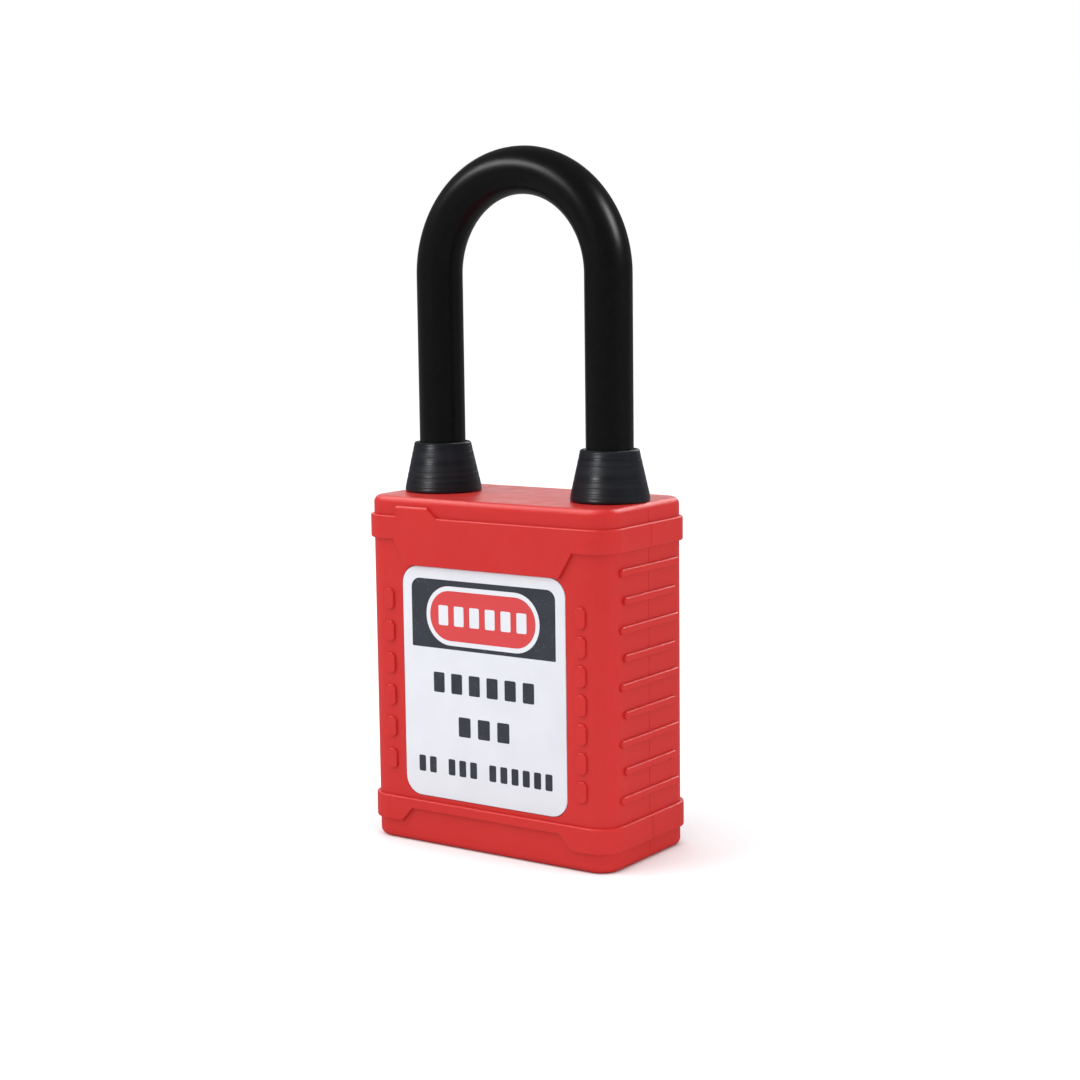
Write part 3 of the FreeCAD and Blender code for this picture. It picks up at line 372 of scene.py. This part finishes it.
def dark_ink():
    """Screen-printed dark ink with pin-prick gaps that show the film."""
    finish = label_film("dark_ink", (0.030, 0.034, 0.046), 0.40)
    pricks = finish.add("ShaderNodeTexVoronoi", Vector=finish.position, Scale=2400.0)
    near = finish.ramp(pricks.outputs["Distance"], 0.55, 0.0, 0.05, 0.16)
    patchy = finish.noise(330, detail=2)
    gate = finish.add("ShaderNodeMath")
    gate.operation = "MULTIPLY"
    finish.put(gate.inputs[0], near)
    finish.put(gate.inputs[1], finish.ramp(patchy, 0, 1, 0.45, 0.6))
    cloud = finish.blend(finish.ramp(patchy, 0, 1), (0.027, 0.031, 0.042), (0.034, 0.039, 0.052))
    finish.colour(finish.blend(gate.outputs[0], cloud, (0.42, 0.43, 0.47)))
    return finish


def metal(name, colour, roughness, lines, grain=900.0, depth=0.004):
    """Worked metal: colour clouds, and a fine lay stretched along one direction."""
    finish = Finish(name, colour, roughness, metallic=1.0)
    lay = finish.noise(grain, detail=4, vector=finish.stretched(*lines))
    cloud = finish.noise(300, detail=3)
    darker = tuple(0.84 * part for part in colour)
    finish.colour(finish.blend(finish.ramp(cloud, 0, 1), darker, colour))
    finish.roughness(finish.ramp(lay, roughness - 0.06, roughness + 0.12))
    finish.bump(lay, depth * MM)
    return finish.material


def floor_finish():
    """Matte white studio paper, whose colour in reflections is painted dark grey: painted shade that keeps the
    floor's reflection off the lock, as black cards would.
    """
    finish = Finish("studio_paper", (0.93, 0.93, 0.93), 0.9, specular=0.0)
    fibre = finish.noise(700, detail=3)
    paper = finish.blend(finish.ramp(fibre, 0, 1), (0.925, 0.925, 0.925), (0.935, 0.935, 0.935))
    in_reflection = finish.add("ShaderNodeLightPath").outputs["Is Glossy Ray"]
    # painted shade: where a reflection sees the paper, its colour is dark grey instead of white
    finish.colour(finish.blend(in_reflection, paper, (0.22, 0.22, 0.22)))
    return finish.material


FINISHES = {
    "red_nylon": red_nylon(),
    "black_nylon": black_nylon(),
    "black_rubber": black_rubber(),
    "label_film": label_film("label_film", (0.68, 0.69, 0.73)).material,
    "zinc_alloy": metal("zinc_alloy", (0.50, 0.50, 0.52), 0.46, (1, 1, 1), grain=2200, depth=0.010),
    "brass": metal("brass", (0.76, 0.56, 0.27), 0.26, (0.05, 0.05, 1), grain=2600),
    "nickel_steel": metal("nickel_steel", (0.66, 0.65, 0.62), 0.24, (1, 0.06, 1), grain=2400),
    "spring_steel": metal("spring_steel", (0.44, 0.44, 0.45), 0.30, (1, 1, 1), grain=3000),
}
INK_DARK = dark_ink().material
INK_RED = label_film("red_ink", (0.62, 0.048, 0.051), 0.36).material
INK_WHITE = label_film("white_ink", (0.70, 0.71, 0.75), 0.34).material
INK_GREY = label_film("grey_ink", (0.20, 0.21, 0.24), 0.42).material


def dress_cad_nodes():
    """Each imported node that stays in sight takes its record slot's finish."""
    for part in frame["record"]["subparts"]:
        data = frame["nodes"][part["node"]].data
        finish = FINISHES[part["material_slot"]]
        if not data.materials:
            data.materials.append(finish)
        for index in range(len(data.materials)):
            data.materials[index] = finish


# ---------------------------------------------------------------- mesh helpers
def finish_piece(name, mesh, material, body, stands_for=(), sharp=35.0):
    """Make an object of a bmesh, smooth it up to an angle, and put it on its CAD body."""
    data = bpy.data.meshes.new(name)
    bmesh.ops.recalc_face_normals(mesh, faces=mesh.faces)
    mesh.to_mesh(data)
    mesh.free()
    data.materials.append(material)
    data.shade_smooth()
    data.set_sharp_from_angle(angle=math.radians(sharp))
    piece = bpy.data.objects.new(name, data)
    bpy.context.scene.collection.objects.link(piece)
    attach(piece, body)
    if stands_for:
        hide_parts(*stands_for)
    return piece


def rounded_outline(left, right, low, high, radii, steps=10):
    """Points round a rectangle from its low left corner, anticlockwise, one radius for each corner."""
    corners = ((left, low, 180), (right, low, 270), (right, high, 0), (left, high, 90))
    points = []
    for (x, z, start), radius in zip(corners, radii):
        inward_x = radius if x == left else -radius
        inward_z = radius if z == low else -radius
        for i in range(steps + 1):
            angle = math.radians(start + 90 * i / steps)
            points.append(
                (x + inward_x + radius * math.cos(angle), z + inward_z + radius * math.sin(angle))
            )
    return points


def slab(outline, back, front, soft=0.0, mesh=None):
    """A flat plate in the XZ plane between two depths, with its front rim softened; sizes in mm."""
    mesh = mesh or bmesh.new()
    rings = []
    for depth in (back, front):
        rings.append([mesh.verts.new((x * MM, depth * MM, z * MM)) for x, z in outline])
    count = len(outline)
    for i in range(count):
        j = (i + 1) % count
        mesh.faces.new((rings[0][i], rings[0][j], rings[1][j], rings[1][i]))
    mesh.faces.new(rings[0][::-1])
    mesh.faces.new(rings[1])
    bmesh.ops.remove_doubles(mesh, verts=mesh.verts, dist=1e-9)
    if soft:
        rim = [edge for edge in mesh.edges if all(near(v.co.y, front * MM) for v in edge.verts)]
        bmesh.ops.bevel(mesh, geom=rim, offset=soft * MM, segments=3, profile=0.5, affect="EDGES")
    return mesh


def near(value, target, slack=1e-7):
    return abs(value - target) < slack


def lathe(profile, x, z, segments=96):
    """A closed profile of (radius, height) points in mm, turned round an upright axis at x, z in metres."""
    mesh = bmesh.new()
    rings = []
    for i in range(segments):
        angle = 2 * math.pi * i / segments
        rings.append(
            [
                mesh.verts.new(
                    (x + radius * MM * math.cos(angle), radius * MM * math.sin(angle), z + height * MM)
                )
                for radius, height in profile
            ]
        )
    count = len(profile)
    for i in range(segments):
        following = rings[(i + 1) % segments]
        for j in range(count):
            k = (j + 1) % count
            mesh.faces.new((rings[i][j], following[j], following[k], rings[i][k]))
    return mesh


# ---------------------------------------------------------------- shackle
def shackle():
    """The U bar swept round its bow, with its turned neck, chamfered ends, latch notches and mould line."""
    low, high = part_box("shackle")
    bar = (high.y - low.y) / 2 / MM
    leg = high.x / MM - bar
    spring_line = high.z / MM - bar - leg
    toe_end = spring_line - TOE_LEG
    heel_end = low.z / MM
    body_radius = bar - MOULD_RISE

    def straight(x, start, end, steps, radius):
        """Section centres up or down one leg, from one height to another."""
        return [(x, start + (end - start) * i / steps, math.pi / 2, radius) for i in range(steps + 1)]

    sections = [(-leg, heel_end, math.pi / 2, body_radius - END_CHAMFER)]
    sections += straight(-leg, heel_end + END_CHAMFER, heel_end + NECK_START, 1, body_radius)
    sections += straight(-leg, heel_end + NECK_START, heel_end + NECK_END, 4, NECK_RADIUS)
    sections += straight(-leg, heel_end + NECK_END, spring_line, 12, body_radius)
    for i in range(1, BOW_STEPS):
        turn = math.pi - math.pi * i / BOW_STEPS
        centre = (leg * math.cos(turn), spring_line + leg * math.sin(turn))
        sections.append((*centre, turn - math.pi / 2, body_radius))
    sections += [
        (leg, z, -math.pi / 2, radius)
        for _, z, _, radius in straight(leg, spring_line, toe_end + END_CHAMFER, 10, body_radius)
    ]
    sections.append((leg, toe_end, -math.pi / 2, body_radius - END_CHAMFER))

    around = [i * 360 / BAR_SIDES for i in range(BAR_SIDES)]
    around += [middle + side * MOULD_HALF_ANGLE for middle, side in ((0, 1), (180, -1), (180, 1), (360, -1))]
    around.sort()
    mesh = bmesh.new()
    rings = []
    for x, z, heading, radius in sections:
        outward = Vector((-math.sin(heading), 0, math.cos(heading)))
        full = near(radius, body_radius, 1e-3)
        ring = []
        for angle in around:
            reach = radius + (MOULD_RISE if full and angle in (0.0, 180.0) else 0.0)
            offset = outward * math.cos(math.radians(angle)) + Vector((0, math.sin(math.radians(angle)), 0))
            ring.append(mesh.verts.new((Vector((x, 0, z)) + offset * reach) * MM))
        rings.append(ring)
    count = len(around)
    for first, second in zip(rings, rings[1:]):
        for i in range(count):
            j = (i + 1) % count
            mesh.faces.new((first[i], first[j], second[j], second[i]))
    mesh.faces.new(rings[0])
    mesh.faces.new(rings[-1][::-1])
    piece = finish_piece(
        "shackle_bar", mesh, FINISHES["black_nylon"], "shackle", ("shackle",), sharp=30.0
    )

    notch_low = toe_end + NOTCH_START
    notch_high = notch_low + NOTCH_HIGH
    beyond = bar + CUT_OVERRUN
    for x_low, x_high in (
        (leg - bar - CUT_OVERRUN, leg - bar + TOE_NOTCH),
        (-leg + bar - HEEL_NOTCH, -leg + bar + CUT_OVERRUN),
    ):
        cut_away(piece, (x_low, -beyond, notch_low), (x_high, beyond, notch_high))
    piece.data.set_sharp_from_angle(angle=math.radians(30))
    return piece


def cut_away(piece, low, high):
    """Cut a box, given in mm, out of a piece's mesh."""
    mesh = bmesh.new()
    bmesh.ops.create_cube(mesh, size=1.0)
    size = [b - a for a, b in zip(low, high)]
    middle = [(a + b) / 2 for a, b in zip(low, high)]
    for vertex in mesh.verts:
        vertex.co = Vector([(m + v * s) * MM for m, v, s in zip(middle, vertex.co, size)])
    data = bpy.data.meshes.new("cutter")
    mesh.to_mesh(data)
    mesh.free()
    cutter = bpy.data.objects.new("cutter", data)
    bpy.context.scene.collection.objects.link(cutter)
    modifier = piece.modifiers.new("notch", "BOOLEAN")
    modifier.operation = "DIFFERENCE"
    modifier.solver = "EXACT"
    modifier.object = cutter
    scene = bpy.context.evaluated_depsgraph_get()
    result = bpy.data.meshes.new_from_object(piece.evaluated_get(scene))
    piece.modifiers.clear()
    piece.data = result
    bpy.data.objects.remove(cutter)


# ---------------------------------------------------------------- dust sleeves
def sleeve(node):
    """A rubber cone with a straight foot, fine turned rings and a soft rim."""
    low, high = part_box(node)
    height = (high.z - low.z) / MM
    base = (high.x - low.x) / 2 / MM
    top, rim, foot, bore = SLEEVE_TOP, SLEEVE_RIM, SLEEVE_FOOT, SLEEVE_BORE
    profile = [(bore, 0.0), (base - 0.12, 0.0), (base - 0.035, 0.035), (base, 0.12), (base, foot - 0.10)]
    profile.append((base - 0.06, foot))
    rise = height - rim - foot
    for i in range(SLEEVE_RINGS):
        depth = 0.024 + 0.012 * math.sin(1.7 * i) + 0.007 * math.sin(4.1 * i)
        for share, cut in ((0.30, depth), (0.55, depth), (0.85, 0.0)):
            along = (i + share) / SLEEVE_RINGS
            profile.append((base + (top - base) * along - cut, foot + rise * along))
    for i in range(7):
        angle = math.radians(90 * i / 6)
        profile.append((top - rim + rim * math.cos(angle), height - rim + rim * math.sin(angle)))
    profile += [(bore + 0.15, height), (bore, height - 0.15)]
    mesh = lathe(profile, (low.x + high.x) / 2, low.z)
    return finish_piece(
        node + "_cone", mesh, FINISHES["black_rubber"], "shackle", (node,), sharp=50.0
    )


# ---------------------------------------------------------------- labels
def front_label():
    """White film with a dark header, a red pill in a white ring, and plain bars where words would be."""
    low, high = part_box("front_label")
    face = low.y / MM
    back = high.y / MM
    left = low.x / MM
    right = high.x / MM
    film = slab(
        rounded_outline(left, right, low.z / MM, high.z / MM, LABEL_CORNERS, steps=16),
        back,
        face,
        soft=LABEL_SOFT,
    )
    finish_piece(
        "front_label_film", film, FINISHES["label_film"], "root", ("front_label",)
    )
    fields = (
        ("label_header", (-11.1, 11.1, 26.0, 34.85), HEADER_CORNERS, 1, INK_DARK),
        ("label_pill_ring", (-8.75, 8.75, 26.5, 34.1), (3.7,) * 4, 2, INK_WHITE),
        ("label_pill", (-8.15, 8.15, 27.1, 33.5), (3.1,) * 4, 3, INK_RED),
    )
    for name, box, radii, layer, material in fields:
        mesh = slab(rounded_outline(*box, radii), face + INK_ROOT, face - INK_LAYER * layer)
        finish_piece(name, mesh, material, "root")
    rows = (
        ("label_pill_bars", (-6.8, 6.8, 29.05, 31.6), (6,), 4, INK_WHITE),
        ("label_bars_1", (-7.8, 7.8, 20.3, 22.9), (6,), 1, INK_DARK),
        ("label_bars_2", (-3.95, 3.95, 14.85, 17.4), (3,), 1, INK_DARK),
        ("label_bars_3", (-10.4, 10.4, 9.65, 11.75), (2, 3, 6), 1, INK_DARK),
    )
    for name, box, groups, layer, material in rows:
        mesh = bmesh.new()
        for left, right in upright_bars(box[0], box[1], groups):
            outline = rounded_outline(left, right, box[2], box[3], BAR_CORNERS, steps=5)
            slab(outline, face + INK_ROOT, face - INK_LAYER * layer, mesh=mesh)
        finish_piece(name, mesh, material, "root")


def upright_bars(left, right, groups):
    """Left and right sides of evenly set bars in groups, with a wider gap between two groups."""
    share = 0.62
    wide_gap = 0.75
    cells = sum(groups) + wide_gap * (len(groups) - 1) - (1 - share)
    pitch = (right - left) / cells
    start = left
    for count in groups:
        for i in range(count):
            yield start + i * pitch, start + (i + share) * pitch
        start += (count + wide_gap) * pitch


def rear_label():
    """White film with a plain dark header and ruled lines to write on."""
    low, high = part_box("rear_label")
    face = high.y / MM
    left = low.x / MM
    right = high.x / MM
    film = slab(
        rounded_outline(left, right, low.z / MM, high.z / MM, LABEL_CORNERS, steps=16),
        low.y / MM,
        face,
        soft=LABEL_SOFT,
    )
    finish_piece("rear_label_film", film, FINISHES["label_film"], "root", ("rear_label",))
    outline = rounded_outline(-11.1, 11.1, 29.6, 34.5, HEADER_CORNERS)
    header = slab(outline, face - INK_ROOT, face + INK_LAYER)
    finish_piece("rear_label_header", header, INK_DARK, "root")
    for i in range(RULES):
        level = RULE_LEVEL + RULE_PITCH * i
        outline = rounded_outline(-10.4, 10.4, level, level + RULE_WIDTH, RULE_CORNERS)
        rule = slab(outline, face - INK_ROOT, face + INK_LAYER)
        finish_piece("rear_label_rule_%d" % (i + 1), rule, INK_GREY, "root")


# ---------------------------------------------------------------- pin springs
def coil(radius, wire, length, turns, start, level):
    """A round wire wound along X from a start, in mm, with its two end turns nearly flat."""
    flat = END_PITCH * wire
    pitch = (length - 2 * wire - 2 * flat) / (turns - 2)
    mesh = bmesh.new()
    rings = []
    for i in range(turns * COIL_STEPS + 1):
        turn = i / COIL_STEPS
        open_turns = min(max(turn - 1, 0), turns - 2)
        x = start + wire + pitch * open_turns + flat * (turn - open_turns)
        angle = 2 * math.pi * turn
        outward = Vector((0, math.sin(angle), -math.cos(angle)))
        ring = []
        for j in range(WIRE_SIDES):
            side = 2 * math.pi * j / WIRE_SIDES
            offset = outward * (radius + wire * math.cos(side)) + Vector((wire * math.sin(side), 0, 0))
            ring.append(mesh.verts.new((Vector((x, 0, level)) + offset) * MM))
        rings.append(ring)
    for first, second in zip(rings, rings[1:]):
        for i in range(WIRE_SIDES):
            j = (i + 1) % WIRE_SIDES
            mesh.faces.new((first[i], first[j], second[j], second[i]))
    mesh.faces.new(rings[0])
    mesh.faces.new(rings[-1][::-1])
    return mesh


def pin_springs():
    """Coils behind the driver pins, one for each pin spring that a joint lists as deforming as its pin moves."""
    for joint in frame["joints"]:
        for soft in joint.get("deforming_nodes", []):
            node = soft["node"]
            if not node.startswith("pin_spring"):
                continue
            low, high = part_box(node)
            middle = (low + high) / 2
            radius = (high.y - low.y) / 2 / MM - PIN_WIRE
            length = (high.x - low.x) / MM
            mesh = coil(radius, PIN_WIRE, length, PIN_TURNS, low.x / MM, middle.z / MM)
            piece = finish_piece(
                node + "_coil", mesh, FINISHES["spring_steel"], "root", (node,), sharp=60.0
            )
            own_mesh(piece)


# ---------------------------------------------------------------- floor
def make_floor():
    """A wide sheet of paper under the lock."""
    mesh = bmesh.new()
    bmesh.ops.create_grid(mesh, x_segments=8, y_segments=8, size=FLOOR_HALF)
    data = bpy.data.meshes.new("floor")
    mesh.to_mesh(data)
    mesh.free()
    data.materials.append(floor_finish())
    floor = bpy.data.objects.new("floor", data)
    bpy.context.scene.collection.objects.link(floor)
    floor.location.z = cad_low.z


def light_the_lock(shackle_piece, sleeves):
    """Soft light from the front left, with a few reflections placed one by one."""
    sky_panel(0, 86, 2.0, 70)
    fill("key_fill", -50, 32, 0.50, 0.30, 3.5)
    fill("side_fill", 96, 12, 0.40, 0.30, 3.2)
    fill("front_fill", -8, 10, 0.40, 0.16, 1.5)
    glint("crown_band", [shackle_piece], -40, 33, 0.42, 0.15, 11.0)
    glint("bend_streak", [shackle_piece], 102, 40, 0.20, 0.26, 17.0)
    glint("sleeve_band", sleeves, -15, 18, 0.14, 0.24, 15.0)
    glint("sleeve_edge", sleeves, 186, 24, 0.30, 0.30, 3.0)
    glint("sleeve_rim", sleeves, 200, 66, 0.40, 0.30, 5.0)
    nodes = list(frame["nodes"].values())
    glint("rim_ceiling", nodes, -70, 62, 0.80, 0.50, 5.0)
    glint("rim_side", nodes, 170, 34, 0.50, 0.24, 6.0)
    glint("backdrop", nodes, 215, 14, 0.70, 0.16, 1.35)


make_camera()
make_world()
make_floor()
dress_cad_nodes()
shackle_bar = shackle()
cones = [sleeve("heel_sleeve"), sleeve("toe_sleeve")]
front_label()
rear_label()
pin_springs()
light_the_lock(shackle_bar, cones)

bpy.context.scene.view_settings.view_transform = "Standard"
